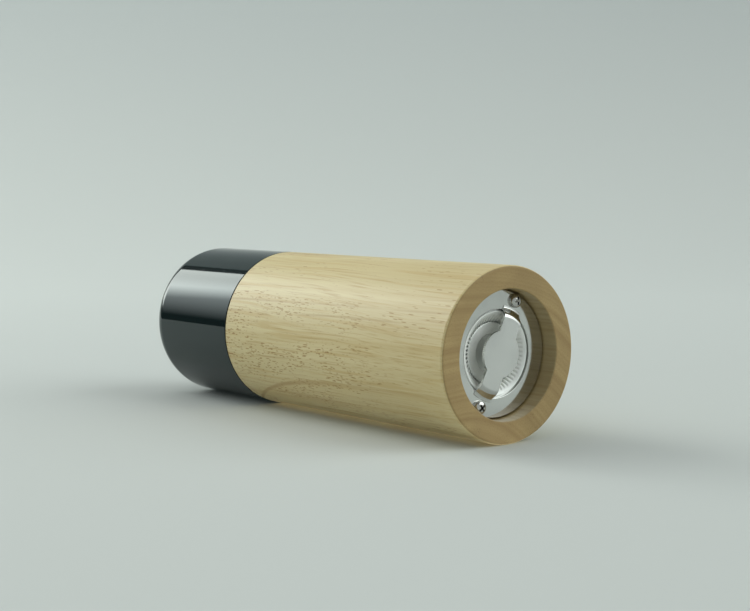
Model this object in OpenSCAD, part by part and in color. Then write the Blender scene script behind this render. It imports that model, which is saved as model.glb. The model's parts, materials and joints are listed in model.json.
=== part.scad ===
// Pepper mill: a turned wooden body, a gloss cap that turns a square shaft,
// and a steel grinding mechanism behind the plate in the base.
// It stands upright, with the origin at the centre of its base and +Z
// towards the cap. The strap and the base screws lie along X.

/* [Body] */
// Outer radius of the wooden body and of the cap
body_r = 29; // [27:0.5:34]
// Height of the wooden body, from the base to the cap's seam
body_h = 122; // [100:1:260]
// Radius of the bore that holds the peppercorns
chamber_r = 16; // [15.8:0.1:16.4]
// Radius of the recess in the base
recess_r = 21.4; // [21:0.1:23]
// Depth of the recess, from the base to the plate
recess_depth = 6; // [5:0.5:12]
// Rounding of the body's outer edge at the base
base_edge_r = 1; // [0.5:0.1:2]
// Rounding of the recess's mouth
mouth_edge_r = 0.6; // [0.3:0.1:1]

/* [Cap] */
// Height of the cap, without the nut
cap_h = 54.5; // [40:0.5:70]
// Radius of the cap's rounded upper edge
cap_edge_r = 9; // [4:0.5:14]
// Thickness of the cap's outer shell
cap_wall = 2; // [1.2:0.1:2.6]
// Thickness of the slip washer between the body and the cap
slip_h = 0.45; // [0.3:0.05:0.8]
// Depth of the cap's spigot inside the body
spigot_h = 10; // [8:0.5:14]

/* [Grinding mechanism] */
// Thickness of the base plate
plate_t = 1; // [0.8:0.1:1.5]
// Radius of the round hole in the base plate
plate_hole_r = 14.2; // [14.1:0.1:14.4]
// Radius of the ring's grinding edge
ring_edge_r = 10.6; // [10.2:0.1:11]
// Radial gap between the cone and the ring at the finest setting
grind_gap = 0.6; // [0.4:0.1:0.9]
// Number of fine teeth on the ring and on the cone
fine_teeth = 54; // [36:1:60]
// Number of feed grooves on the cone
feed_grooves = 6; // [4:1:8]
// Width of the outlet strap and of the bearing bridge
strap_w = 7.7; // [6:0.1:9]
// Radius of the round middle of the outlet strap
strap_disc_r = 7.7; // [6:0.1:9]
// Distance that the outlet strap stands off the base plate
strap_rise = 2.3; // [2:0.1:2.6]
// Radius at which the outlet strap bends down to the plate
strap_shoulder_r = 12.8; // [12.4:0.1:13]
// Number of turns of the pressure spring
spring_turns = 4; // [3:1:5]

/* [Shaft and nut] */
// Width across the flats of the square shaft
shaft_side = 6; // [5.4:0.1:6.1]
// Radius of the threaded top of the shaft
thread_r = 2.5; // [2:0.1:2.6]
// Radius of the adjusting nut
nut_r = 6.6; // [5.5:0.1:9]
// Height of the adjusting nut
nut_h = 8.8; // [8:0.1:12]
// Number of grooves in the nut's grip
nut_grooves = 30; // [20:1:40]

/* [Screws] */
// Distance between the two base screws
base_screw_spacing = 37.2; // [37:0.1:37.6]
// Radius of the base screws' heads
base_head_r = 2.35; // [2:0.05:2.5]
// Height of the base screws' heads
base_head_h = 1.8; // [1.4:0.1:2.2]

/* [Hidden] */
$fn = 96;

// Clearances
touch = 0.05;          // between two pieces that are pressed or screwed up
running = 0.1;         // between a turning piece and what it turns in
eps = 0.01;            // past a face that a cut goes through

// Base plate and screws
plate_z = recess_depth;
plate_top = plate_z + plate_t;
plate_r = recess_r - 0.4;
base_screw_x = base_screw_spacing / 2;
base_shank_r = 1.2;
base_shank_l = 12;

// Grinding ring and its housing
ring_r = 14 - touch;
ring_set_back = 0.4;   // the ring's lower face behind the plate's
ring_z = plate_z + ring_set_back;
funnel_h = 2.2;        // height of the ring's funnel mouth
zone_h = 4.6;          // height of the fine grinding zone
feed_h = 4.8;          // height of the feed zone above it
edge_z = ring_z + funnel_h;
waist_z = edge_z + zone_h;
ring_top = waist_z + feed_h;
funnel_r = ring_r - 0.4;
waist_r = ring_edge_r - 1.5;
feed_r = ring_edge_r + 1.2;
housing_r = 15;
housing_in_r = 14;
housing_lip_r = 11.9;  // the lip that holds the ring down
lip_t = 1;
housing_flange_r = 15.75;
housing_top = ring_top + touch + lip_t;

// Bearing bridge, its rivets and its bush
bridge_t = 1.2;
bridge_leg_x = 11.2;
bridge_foot_x = 15.1;
bridge_rise = 8;       // inside height of the bridge
bridge_disc_r = 7.7;   // round middle, around the bush
bridge_z = housing_top + bridge_rise;
bridge_top = bridge_z + bridge_t;
rivet_x = 13.6;
rivet_r = 0.8;
bush_r = 5;
bush_flange_r = 6.4;
bush_flange_t = 0.8;
shaft_diag_r = shaft_side / sqrt(2);
bush_bore_r = shaft_diag_r + 0.15;

// Cone, washers and the screw under the cone
cone_z = edge_z + 0.3;
cone_edge_r = ring_edge_r - 0.1 - grind_gap;
cone_waist_r = waist_r - grind_gap;
cone_feed_r = 6.2;
dish_h = 2;            // depth of the dish under the cone
dish_rim_r = 7.4;
dish_floor_r = 6.4;
hub_z = cone_z + dish_h;
cone_feed_z = ring_top - 0.1;
boss_r = 5.4;
boss_top = cone_feed_z + 0.8;
socket_side = shaft_side + running;
groove_r = 1.9;        // radius of a feed groove
groove_tilt = 24;      // how far a feed groove leans round the cone, in degrees
groove_slope = 18;     // how far it leans in towards the shaft, in degrees
groove_l = 9;
cone_washer_t = 0.8;
cone_screw_head_h = 1.2;
cone_screw_r = 1.3;
cone_screw_l = 12;
thrust_z = boss_top + touch;
thrust_t = 0.8;
thrust_top = thrust_z + thrust_t;

// Pressure spring
wire_r = 0.5;
coil_r = 5.95;
coil_steps = 16;       // rings of the sweep in each turn
coil_sides = 8;

// Neck of the body
collar_h = 12;
collar_r = 19;
collar_in_r = 17;
collar_z = body_h - collar_h;
pin_r = 0.75;
pin_l = 6;
pin_z = body_h - collar_h / 2;

// Cap
seam_z = body_h + slip_h + touch;
cap_top = seam_z + cap_h;
spigot_r = collar_in_r - running;
spigot_z = seam_z - spigot_h;
core_r = body_r - cap_wall - touch;
core_top = cap_top - cap_wall - touch;
core_bore_r = 5.2;
turn_plate_r = 13;
turn_plate_t = 1.2;
turn_plate_z = spigot_z - touch - turn_plate_t;
turn_screw_r = 9.5;    // radius of the circle that its screws lie on
turn_screws = 3;
oring_r = 0.7;         // radius of the seal's section
ferrule_hole_r = 4;
ferrule_flange_r = 7.6;
ferrule_flange_t = 0.6;
ferrule_h = 5;

// Nut
nut_washer_z = cap_top + ferrule_flange_t + touch;
nut_washer_t = 0.5;
nut_z = nut_washer_z + nut_washer_t + touch;
nut_dome_r = 2.2;      // rounding of the nut's upper edge
insert_r = 4;
insert_h = 6.5;
nut_bore_h = insert_h + 0.3;

// Shaft
shaft_z = hub_z + 0.2;
square_top = core_top - 9;
thread_top = nut_z + insert_h - 0.6;

// Outline of a ring of teeth, from radius low to radius high
function star(n, low, high) = [
    for (i = [0 : 2 * n - 1])
        let (a = i * 180 / n, r = i % 2 == 0 ? high : low)
            [r * cos(a), r * sin(a)]
];

// Points of a quarter circle about [x, y], from angle a0 to angle a1
function arc(x, y, r, a0, a1, steps = 8) = [
    for (i = [0 : steps])
        let (a = a0 + (a1 - a0) * i / steps)
            [x + r * cos(a), y + r * sin(a)]
];

// Height of the spring's wire after t of its length: the end turns lie closer
function coil_rise(t) = t - 0.3 * sin(360 * t) / (2 * PI);

module ring_of(r_out, r_in, h) {
    difference() {
        cylinder(r = r_out, h = h);
        translate([0, 0, -eps]) cylinder(r = r_in, h = h + 2 * eps);
    }
}

module square_hole(side, h) {
    translate([-side / 2, -side / 2, -eps]) cube([side, side, h + 2 * eps]);
}

// Pan-head screw with a cross recess. The head hangs below z = 0
module pan_screw(head_r, head_h, shank_r, shank_l) {
    dome = head_h * 0.5;
    recess_w = head_r * 0.32;
    recess_l = head_r * 1.25;
    difference() {
        rotate_extrude() polygon([
            [0, -head_h],
            [head_r * 0.62, -head_h],
            [head_r * 0.88, -head_h + dome * 0.35],
            [head_r, -head_h + dome],
            [head_r, 0],
            [shank_r, 0],
            [shank_r, shank_l - shank_r],
            [0, shank_l]
        ]);
        for (turn = [0, 90]) rotate([0, 0, turn])
            translate([-recess_l / 2, -recess_w / 2, -head_h - eps])
                cube([recess_l, recess_w, head_h * 0.5]);
    }
}

module at_base_screws() {
    for (side = [-1, 1]) translate([side * base_screw_x, 0, plate_z]) children();
}

module at_turn_screws() {
    for (i = [0 : turn_screws - 1]) rotate([0, 0, i * 360 / turn_screws + 60])
        translate([turn_screw_r, 0, turn_plate_z]) children();
}

// ---- fixed to the body ----

module wood_body() {
    color([0.80, 0.71, 0.53]) difference() {
        rotate_extrude() polygon(concat(
            [[recess_r, plate_top], [recess_r, mouth_edge_r]],
            arc(recess_r + mouth_edge_r, mouth_edge_r, mouth_edge_r, 180, 270),
            arc(body_r - base_edge_r, base_edge_r, base_edge_r, 270, 360),
            [[body_r, body_h], [collar_r, body_h], [collar_r, collar_z],
             [chamber_r, collar_z], [chamber_r, plate_top]]
        ));
        for (side = [-1, 1]) translate([side * base_screw_x, 0, plate_top - eps])
            cylinder(r = base_shank_r + touch, h = base_shank_l);
        for (side = [-1, 1]) translate([0, 0, pin_z]) rotate([side * 90, 0, 0])
            translate([0, 0, collar_in_r])
                cylinder(r = pin_r + touch, h = pin_l + touch, $fn = 24);
    }
}

module base_plate() {
    color([0.78, 0.80, 0.78]) difference() {
        translate([0, 0, plate_z]) ring_of(plate_r, plate_hole_r, plate_t);
        at_base_screws() translate([0, 0, -eps])
            cylinder(r = base_shank_r + running, h = plate_t + 2 * eps);
    }
}

module base_screws() {
    color([0.62, 0.62, 0.60]) at_base_screws()
        pan_screw(base_head_r, base_head_h, base_shank_r, base_shank_l);
}

module ring_housing() {
    color([0.70, 0.71, 0.70]) difference() {
        rotate_extrude() polygon([
            [housing_in_r, plate_top],
            [housing_flange_r, plate_top],
            [housing_flange_r, plate_top + lip_t],
            [housing_r, plate_top + lip_t],
            [housing_r, housing_top],
            [housing_lip_r, housing_top],
            [housing_lip_r, housing_top - lip_t],
            [housing_in_r, housing_top - lip_t]
        ]);
        for (side = [-1, 1])
            translate([side * rivet_x, 0, housing_top - lip_t - eps])
                cylinder(r = rivet_r + touch, h = lip_t + 2 * eps);
    }
}

module grinding_ring() {
    color([0.72, 0.72, 0.69]) difference() {
        rotate_extrude() polygon([
            [funnel_r, ring_z],
            [ring_r, ring_z],
            [ring_r, ring_top],
            [feed_r, ring_top],
            [waist_r, waist_z],
            [ring_edge_r, edge_z]
        ]);
        translate([0, 0, edge_z - 1]) linear_extrude(ring_top - edge_z + 2)
            polygon(star(fine_teeth, waist_r - 0.1, ring_edge_r + 0.6));
    }
}

module outlet_strap() {
    strap_t = 1;
    foot_r = strap_shoulder_r + strap_rise + 0.3;
    low_z = plate_z - strap_rise;
    color([0.80, 0.81, 0.80]) intersection() {
        rotate_extrude() polygon([
            [0, low_z], [strap_shoulder_r, low_z], [foot_r, plate_z],
            [foot_r - 1.3, plate_z], [strap_shoulder_r - 0.5, low_z + strap_t],
            [0, low_z + strap_t]
        ]);
        translate([0, 0, low_z - eps]) union() {
            cylinder(r = strap_disc_r, h = strap_rise + 2 * eps);
            translate([-foot_r, -strap_w / 2, 0])
                cube([2 * foot_r, strap_w, strap_rise + 2 * eps]);
        }
    }
}

module bearing_bridge() {
    half = [
        [bridge_foot_x, housing_top], [bridge_foot_x, housing_top + bridge_t],
        [bridge_leg_x + bridge_t, housing_top + bridge_t],
        [bridge_leg_x + bridge_t, bridge_top]
    ];
    inner = [[bridge_leg_x, bridge_z], [bridge_leg_x, housing_top]];
    outline = concat(
        half, [for (i = [3 : -1 : 0]) [-half[i][0], half[i][1]]],
        [for (i = [1 : -1 : 0]) [-inner[i][0], inner[i][1]]], inner
    );
    color([0.68, 0.69, 0.68]) difference() {
        union() {
            translate([0, strap_w / 2, 0]) rotate([90, 0, 0])
                linear_extrude(strap_w) polygon(outline);
            translate([0, 0, bridge_z]) cylinder(r = bridge_disc_r, h = bridge_t);
        }
        translate([0, 0, bridge_z - eps])
            cylinder(r = bush_r + touch, h = bridge_t + 2 * eps);
        for (side = [-1, 1]) translate([side * rivet_x, 0, housing_top - eps])
            cylinder(r = rivet_r + touch, h = bridge_t + 2 * eps);
    }
}

module bridge_rivets() {
    head_r = 1.3;
    color([0.60, 0.60, 0.58])
        for (side = [-1, 1]) translate([side * rivet_x, 0, housing_top - lip_t])
            rotate_extrude() polygon([
                [0, 0], [rivet_r, 0], [rivet_r, lip_t + bridge_t],
                [head_r, lip_t + bridge_t], [head_r * 0.7, lip_t + bridge_t + 0.7],
                [0, lip_t + bridge_t + 0.9]
            ]);
}

module bridge_bush() {
    color([0.92, 0.91, 0.86]) union() {
        translate([0, 0, bridge_z]) ring_of(bush_r, bush_bore_r, bridge_t);
        translate([0, 0, bridge_top])
            ring_of(bush_flange_r, bush_bore_r, bush_flange_t);
    }
}

module pressure_spring() {
    rings = spring_turns * coil_steps;
    low = thrust_top + touch + wire_r;
    high = bridge_z - touch - wire_r;
    points = [
        for (i = [0 : rings]) let (a = i * 360 / coil_steps, t = i / rings)
            for (j = [0 : coil_sides - 1]) let (
                b = j * 360 / coil_sides,
                r = coil_r + wire_r * cos(b)
            ) [r * cos(a), r * sin(a), low + (high - low) * coil_rise(t) + wire_r * sin(b)]
    ];
    sides = [
        for (i = [0 : rings - 1]) for (j = [0 : coil_sides - 1]) let (
            k = (j + 1) % coil_sides,
            p = i * coil_sides,
            q = p + coil_sides
        ) [p + j, p + k, q + k, q + j]
    ];
    first = [for (j = [coil_sides - 1 : -1 : 0]) j];
    last = [for (j = [0 : coil_sides - 1]) rings * coil_sides + j];
    color([0.66, 0.66, 0.64])
        polyhedron(points, concat(sides, [first, last]), convexity = 6);
}

module neck_collar() {
    color([0.88, 0.87, 0.82]) difference() {
        translate([0, 0, collar_z + touch])
            ring_of(collar_r - touch, collar_in_r, collar_h - 4 * touch);
        for (side = [-1, 1]) translate([0, 0, pin_z]) rotate([side * 90, 0, 0])
            translate([0, 0, collar_in_r - 1])
                cylinder(r = pin_r + touch, h = pin_l, $fn = 24);
    }
}

module collar_pins() {
    color([0.66, 0.66, 0.64])
        for (side = [-1, 1]) translate([0, 0, pin_z]) rotate([side * 90, 0, 0])
            translate([0, 0, collar_in_r + 2 * touch])
                cylinder(r = pin_r, h = pin_l - 2 * touch, $fn = 24);
}

// ---- between the body and the cap ----

module slip_washer() {
    color([0.16, 0.16, 0.16]) translate([0, 0, body_h])
        ring_of(body_r - 0.6, collar_r + 0.5, slip_h);
}

// ---- cap ----

module cap_shell() {
    low_r = body_r - 0.3;
    in_r = cap_edge_r - cap_wall;
    color([0.05, 0.055, 0.06]) rotate_extrude() polygon(concat(
        [[body_r - cap_wall, seam_z], [low_r, seam_z], [body_r, seam_z + 0.3]],
        arc(body_r - cap_edge_r, cap_top - cap_edge_r, cap_edge_r, 0, 90, 16),
        [[ferrule_hole_r, cap_top], [ferrule_hole_r, cap_top - cap_wall]],
        arc(body_r - cap_edge_r, cap_top - cap_edge_r, in_r, 90, 0, 12)
    ));
}

module cap_core() {
    in_r = cap_edge_r - cap_wall - touch;
    seal_z = spigot_z + spigot_h / 2;
    color([0.12, 0.12, 0.13]) difference() {
        rotate_extrude() polygon(concat(
            [[core_bore_r, spigot_z], [spigot_r, spigot_z], [spigot_r, seam_z],
             [core_r, seam_z]],
            arc(body_r - cap_edge_r, cap_top - cap_edge_r, in_r, 0, 90, 12),
            [[core_bore_r, core_top]]
        ));
        translate([0, 0, seal_z - oring_r - touch])
            ring_of(spigot_r + 1, spigot_r - 2 * oring_r - touch, 2 * (oring_r + touch));
        at_turn_screws() cylinder(r = 1 + touch, h = 9);
    }
}

module spigot_ring() {
    color([0.10, 0.10, 0.10]) translate([0, 0, spigot_z + spigot_h / 2])
        rotate_extrude() translate([spigot_r - oring_r, 0]) circle(r = oring_r, $fn = 32);
}

module turn_plate() {
    color([0.70, 0.71, 0.70]) difference() {
        translate([0, 0, turn_plate_z]) cylinder(r = turn_plate_r, h = turn_plate_t);
        translate([0, 0, turn_plate_z]) square_hole(shaft_side + 2 * running, turn_plate_t);
        at_turn_screws() translate([0, 0, -eps])
            cylinder(r = 1 + running, h = turn_plate_t + 2 * eps);
    }
}

module turn_plate_screws() {
    color([0.62, 0.62, 0.60]) at_turn_screws() pan_screw(1.9, 1.3, 1, 8);
}

module top_ferrule() {
    color([0.74, 0.75, 0.74]) translate([0, 0, cap_top]) difference() {
        union() {
            cylinder(r = ferrule_flange_r, h = ferrule_flange_t);
            translate([0, 0, -ferrule_h])
                cylinder(r = ferrule_hole_r - touch, h = ferrule_h + eps);
        }
        translate([0, 0, -ferrule_h - eps])
            cylinder(r = thread_r + 0.25, h = ferrule_h + ferrule_flange_t + 2 * eps);
    }
}

// ---- nut ----

module adjuster_nut() {
    color([0.76, 0.77, 0.76]) translate([0, 0, nut_z]) difference() {
        intersection() {
            rotate_extrude() polygon(concat(
                [[0, 0], [nut_r - 0.5, 0], [nut_r, 0.5]],
                arc(nut_r - nut_dome_r, nut_h - nut_dome_r, nut_dome_r, 0, 90),
                [[0, nut_h]]
            ));
            linear_extrude(nut_h) polygon(star(nut_grooves, nut_r - 0.35, nut_r + 0.15));
        }
        translate([0, 0, -eps]) cylinder(r = insert_r + touch, h = nut_bore_h);
    }
}

module nut_insert() {
    color([0.78, 0.64, 0.34]) translate([0, 0, nut_z])
        ring_of(insert_r, thread_r + touch, insert_h);
}

module nut_washer() {
    color([0.30, 0.28, 0.26]) translate([0, 0, nut_washer_z])
        ring_of(nut_r - 0.6, thread_r + 0.3, nut_washer_t);
}

// ---- drive ----

module thrust_washer() {
    color([0.74, 0.75, 0.74]) translate([0, 0, thrust_z])
        ring_of(7.2, shaft_diag_r + 0.3, thrust_t);
}

module drive_shaft() {
    color([0.80, 0.81, 0.81]) difference() {
        union() {
            translate([-shaft_side / 2, -shaft_side / 2, shaft_z])
                cube([shaft_side, shaft_side, square_top - shaft_z]);
            translate([0, 0, square_top - eps])
                cylinder(r = thread_r, h = thread_top - square_top + eps);
        }
        translate([0, 0, shaft_z - eps])
            cylinder(r = cone_screw_r + touch, h = cone_screw_l);
    }
}

module grinding_cone() {
    color([0.60, 0.60, 0.58]) difference() {
        intersection() {
            rotate_extrude() polygon([
                [0, hub_z], [dish_floor_r, hub_z], [dish_rim_r, cone_z],
                [cone_edge_r, cone_z], [cone_waist_r, waist_z],
                [cone_feed_r, cone_feed_z], [boss_r, cone_feed_z],
                [boss_r, boss_top], [0, boss_top]
            ]);
            translate([0, 0, cone_z]) linear_extrude(boss_top - cone_z)
                polygon(star(fine_teeth, cone_edge_r - 0.7, cone_edge_r + 0.05));
        }
        for (i = [0 : feed_grooves - 1]) rotate([0, 0, i * 360 / feed_grooves])
            translate([cone_waist_r + 0.4, 0, waist_z - 1.2]) rotate([groove_tilt, -groove_slope, 0])
                cylinder(r = groove_r, h = groove_l, $fn = 24);
        translate([0, 0, cone_z]) square_hole(socket_side, boss_top - cone_z);
    }
}

module cone_washer() {
    color([0.74, 0.75, 0.74]) translate([0, 0, hub_z - touch - cone_washer_t])
        ring_of(6, cone_screw_r + running, cone_washer_t);
}

module cone_screw() {
    color([0.62, 0.62, 0.60])
        translate([0, 0, hub_z - 2 * touch - cone_washer_t])
            pan_screw(2.6, cone_screw_head_h, cone_screw_r, cone_screw_l);
}

wood_body();
base_plate();
base_screws();
ring_housing();
grinding_ring();
outlet_strap();
bearing_bridge();
bridge_rivets();
bridge_bush();
pressure_spring();
neck_collar();
collar_pins();
slip_washer();
cap_shell();
cap_core();
turn_plate();
turn_plate_screws();
spigot_ring();
top_ferrule();
adjuster_nut();
nut_insert();
nut_washer();
thrust_washer();
drive_shaft();
grinding_cone();
cone_washer();
cone_screw();
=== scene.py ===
# %% [markdown]
# # A wooden pepper mill
# The mill is a turned tube of pale hardwood with a gloss black cap. A steel
# grinding mechanism sits in a recess in its base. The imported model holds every
# part at its real size, standing upright with +Z from the base to the cap, and
# this lesson gives those parts their finished shapes and surfaces.

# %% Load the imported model
import json
import math

import bmesh
import bpy
from mathutils import Matrix, Vector


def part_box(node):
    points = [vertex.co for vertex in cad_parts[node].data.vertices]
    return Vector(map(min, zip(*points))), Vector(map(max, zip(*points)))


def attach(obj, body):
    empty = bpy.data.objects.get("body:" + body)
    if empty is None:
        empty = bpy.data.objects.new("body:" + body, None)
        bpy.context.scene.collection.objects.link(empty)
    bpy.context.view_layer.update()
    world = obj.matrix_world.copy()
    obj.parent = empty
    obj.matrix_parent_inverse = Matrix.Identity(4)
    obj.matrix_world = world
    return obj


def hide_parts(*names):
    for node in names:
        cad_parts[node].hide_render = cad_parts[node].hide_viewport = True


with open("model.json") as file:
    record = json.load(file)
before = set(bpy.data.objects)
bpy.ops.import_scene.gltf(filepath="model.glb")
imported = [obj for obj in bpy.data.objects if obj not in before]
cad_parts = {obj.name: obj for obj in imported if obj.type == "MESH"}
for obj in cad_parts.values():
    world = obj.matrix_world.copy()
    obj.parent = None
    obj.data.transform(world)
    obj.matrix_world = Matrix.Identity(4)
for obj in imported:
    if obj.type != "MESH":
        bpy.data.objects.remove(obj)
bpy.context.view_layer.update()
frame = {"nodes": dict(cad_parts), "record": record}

# %% [markdown]
# ## Sizes to work from
# A piece that replaces a part has to fit its neighbours, so its sizes are
# read from the parts' own boxes. Lengths are in metres, and small roundings
# are written in millimetres.

# %% Read the driving sizes
MM = 0.001
wood_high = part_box("wood_body")[1]
plate_low, plate_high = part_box("base_plate")
shell_low, shell_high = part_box("cap_shell")
BODY_R = wood_high.x
BODY_H = wood_high.z
CAP_TOP = shell_high.z
PLATE_Z = plate_low.z
PLATE_R = plate_high.x
RECESS_R = PLATE_R + 0.4 * MM
print(f"body {2 * BODY_R / MM:.1f} mm across and {BODY_H / MM:.1f} mm high, cap to {CAP_TOP / MM:.1f} mm")

# %% [markdown]
# ## Laying the mill down
# The parts stand upright, and the picture is of a mill that lies on its side.
# Nothing in the model is moved: the floor, the lights and the camera are
# turned instead. `up` points away from the floor, `across` is level and square
# to the mill, and `outward` points out of the base.

# %% Directions of the lying mill
ROLL = math.radians(25)
YAW = math.radians(38.8)
PITCH = math.radians(4.62)
up = Vector((math.cos(ROLL), -math.sin(ROLL), 0))
outward = Vector((0, 0, -1))
across = up.cross(outward)
away = across * math.sin(YAW) - outward * math.cos(YAW)
right = away.cross(up)
floor_middle = Vector((0, 0, BODY_H / 2)) - up * BODY_R


def spot(to_right, far, high):
    """A place in the studio, measured from the floor under the mill's middle."""
    return floor_middle + right * to_right + away * far + up * high


print("up", tuple(round(c, 3) for c in up), "away", tuple(round(c, 3) for c in away))

# %% [markdown]
# ## Camera
# A 70 mm lens keeps the long tube from looking stretched. The camera looks a
# little down, and its place is given by where the base's centre has to be in
# the view: to the right, below the middle and ahead.

# %% Place the camera
BASE_TO_RIGHT = 0.0432
BASE_BELOW = 0.0160
BASE_AHEAD = 0.4678
look = away * math.cos(PITCH) - up * math.sin(PITCH)
lift = right.cross(look)
lens = bpy.data.cameras.new("camera")
lens.lens = 70
lens.sensor_width = 36
lens.clip_start = 0.01
camera = bpy.data.objects.new("camera", lens)
camera_place = lift * BASE_BELOW - right * BASE_TO_RIGHT - look * BASE_AHEAD
camera_turn = Matrix((right, lift, -look)).transposed().to_4x4()
camera.matrix_world = Matrix.Translation(camera_place) @ camera_turn
bpy.context.collection.objects.link(camera)
bpy.context.scene.camera = camera
bpy.context.scene.view_settings.view_transform = "Standard"
print("camera at", tuple(round(c, 3) for c in camera_place))

# %% [markdown]
# ## Shader maths in plain expressions
# A finish is a small graph of shader nodes. Written out node by node it is
# hard to read, so `Wire` wraps a socket and lets it be added and multiplied
# like a number. Everything else goes through one method, `Graph.node`.


# %% A socket that can be used in arithmetic
class Wire:
    """A shader socket. Arithmetic on it adds Math nodes."""

    def __init__(self, graph, socket):
        self.graph = graph
        self.socket = socket

    def _math(self, operation, first, second):
        return self.graph.node("ShaderNodeMath", {"operation": operation}, {0: first, 1: second})

    def __add__(self, other):
        return self._math("ADD", self, other)

    def __sub__(self, other):
        return self._math("SUBTRACT", self, other)

    def __rsub__(self, other):
        return self._math("SUBTRACT", other, self)

    def __mul__(self, other):
        return self._math("MULTIPLY", self, other)

    def __truediv__(self, other):
        return self._math("DIVIDE", self, other)

    def __abs__(self):
        return self._math("ABSOLUTE", self, 0)

    __radd__ = __add__
    __rmul__ = __mul__

    def _range(self, kind, low, high):
        sockets = {"Value": self, "From Min": low, "From Max": high}
        return self.graph.node("ShaderNodeMapRange", {"interpolation_type": kind}, sockets)

    def above(self, low, high):
        """0 below low and 1 above high, with a soft step between."""
        return self._range("SMOOTHSTEP", low, high)

    def ramp(self, low, high):
        """0 below low and 1 above high, with a straight slope between."""
        return self._range("LINEAR", low, high)


class Graph:
    """A shader node tree that is being built around its surface node."""

    def __init__(self, tree, surface):
        self.tree = tree
        self.surface = tree.nodes[surface]

    def set(self, sockets):
        """Sets or links the surface's own sockets."""
        self._fill(self.surface, sockets)

    def _fill(self, node, sockets):
        for key, value in sockets.items():
            if isinstance(value, Wire):
                self.tree.links.new(value.socket, node.inputs[key])
            else:
                node.inputs[key].default_value = value

    def node(self, kind, settings=None, sockets=None, output=0):
        """Adds any node: its settings first, then its sockets."""
        node = self.tree.nodes.new(kind)
        for key, value in (settings or {}).items():
            setattr(node, key, value)
        self._fill(node, sockets or {})
        return Wire(self, node.outputs[output])

    def vector(self, operation, first, second=(0, 0, 0), third=(0, 0, 0), output="Vector"):
        """Vector Math."""
        sockets = {0: first, 1: second, 2: third}
        return self.node("ShaderNodeVectorMath", {"operation": operation}, sockets, output)

    def dot(self, first, second):
        """How far one vector reaches along another."""
        return self.vector("DOT_PRODUCT", first, second, output="Value")

    def from_axis(self, where):
        """Distance of a place from the mill's axis, in metres."""
        return self.vector("LENGTH", self.vector("MULTIPLY", where, (1, 1, 0)), output="Value")

    def place(self):
        """Object coordinates, in metres."""
        return self.node("ShaderNodeTexCoord", output="Object")

    def part(self, where, axis):
        """One coordinate of a place."""
        return self.node("ShaderNodeSeparateXYZ", {}, {0: where}, output=axis)

    def noise(self, where, size, detail=2.0, roughness=0.5):
        """Smooth noise from 0 to 1 with blobs of that size in mm: one number, or one for each axis."""
        sizes = size if isinstance(size, tuple) else (size, size, size)
        fine = self.vector("MULTIPLY", where, tuple(1000 / s for s in sizes))
        sockets = {"Vector": fine, "Scale": 1.0, "Detail": detail, "Roughness": roughness}
        return self.node("ShaderNodeTexNoise", {}, sockets)

    def cells(self, where, size):
        """Distance from the nearest of scattered points, one to a block of that size in mm."""
        fine = self.vector("MULTIPLY", where, tuple(1000 / s for s in size))
        return self.node("ShaderNodeTexVoronoi", {}, {"Vector": fine, "Scale": 1.0})

    def mix(self, factor, first, second):
        """A colour between two colours."""
        sockets = {"Factor": factor, 6: first, 7: second}
        return self.node("ShaderNodeMix", {"data_type": "RGBA"}, sockets, output=2)

    def bump(self, height, depth):
        """Raises the surface by height times depth metres."""
        return self.node("ShaderNodeBump", {}, {"Height": height, "Distance": depth, "Strength": 1.0})


def finish(name, constants=None):
    """A new material, kept under its name, as the graph around its Principled surface."""
    material = bpy.data.materials.new(name)
    material.use_nodes = True
    MATERIALS[name] = material
    graph = Graph(material.node_tree, "Principled BSDF")
    graph.set(constants or {})
    return graph


MATERIALS = {}
print("shader helpers ready")

# %% [markdown]
# ## Studio
# The paper runs back and curves up into the backdrop, so that no edge shows.
# It is one strip of faces: a line is pushed back, spun up a quarter turn and
# pushed up again. The strip is see-through from behind, because other cameras
# look at the mill from under this floor. The mill's underside touches the paper
# and would look black from there, so shadow rays pass through a soft slit under
# it. The paper is painted a little darker and bluer towards the top of the
# backdrop, as painted shade where the light falls off with height.

# %% Sweep of paper
PAPER_HALF = 1.0
SLIT_FROM, SLIT_TO = 6 * MM, 12 * MM
PAPER_TONES = (0.575, 0.602, 0.578, 1), (0.605, 0.632, 0.608, 1)
# Painted shade: the paper's colour at the top of the backdrop.
PAPER_SHADED_UP = (0.50, 0.548, 0.55, 1)
TONE_SIZE = 700
# The height over which the painted shade comes in.
SHADE_RISE = 0.7
PAPER_NEAR = -0.45
PAPER_FAR = 0.6
CURVE_R = 0.8
WALL_H = 2.0


def push(bm, edges, by):
    """Extrudes edges, shifts what is new, and returns its edges."""
    grown = bmesh.ops.extrude_edge_only(bm, edges=edges)["geom"]
    bmesh.ops.translate(bm, verts=[v for v in grown if isinstance(v, bmesh.types.BMVert)], vec=by)
    return [e for e in grown if isinstance(e, bmesh.types.BMEdge)]


def bend(bm, edges, centre, axis, angle, steps):
    """Spins edges round an axis, and returns the last ones."""
    verts = list({v for e in edges for v in e.verts})
    last = bmesh.ops.spin(
        bm, geom=edges + verts, cent=centre, axis=axis, angle=angle, steps=steps
    )["geom_last"]
    return [e for e in last if isinstance(e, bmesh.types.BMEdge)]


def paper_sweep():
    bm = bmesh.new()
    ends = [bm.verts.new(spot(side * PAPER_HALF, PAPER_NEAR, 0)) for side in (-1, 1)]
    line = push(bm, [bm.edges.new(ends)], away * (PAPER_FAR - PAPER_NEAR))
    line = bend(bm, line, spot(0, PAPER_FAR, CURVE_R), right, math.pi / 2, 24)
    push(bm, line, up * WALL_H)
    bmesh.ops.recalc_face_normals(bm, faces=bm.faces)
    if bm.faces[:][0].normal.dot(up) < 0:
        bmesh.ops.reverse_faces(bm, faces=bm.faces)
    return bm


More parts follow.
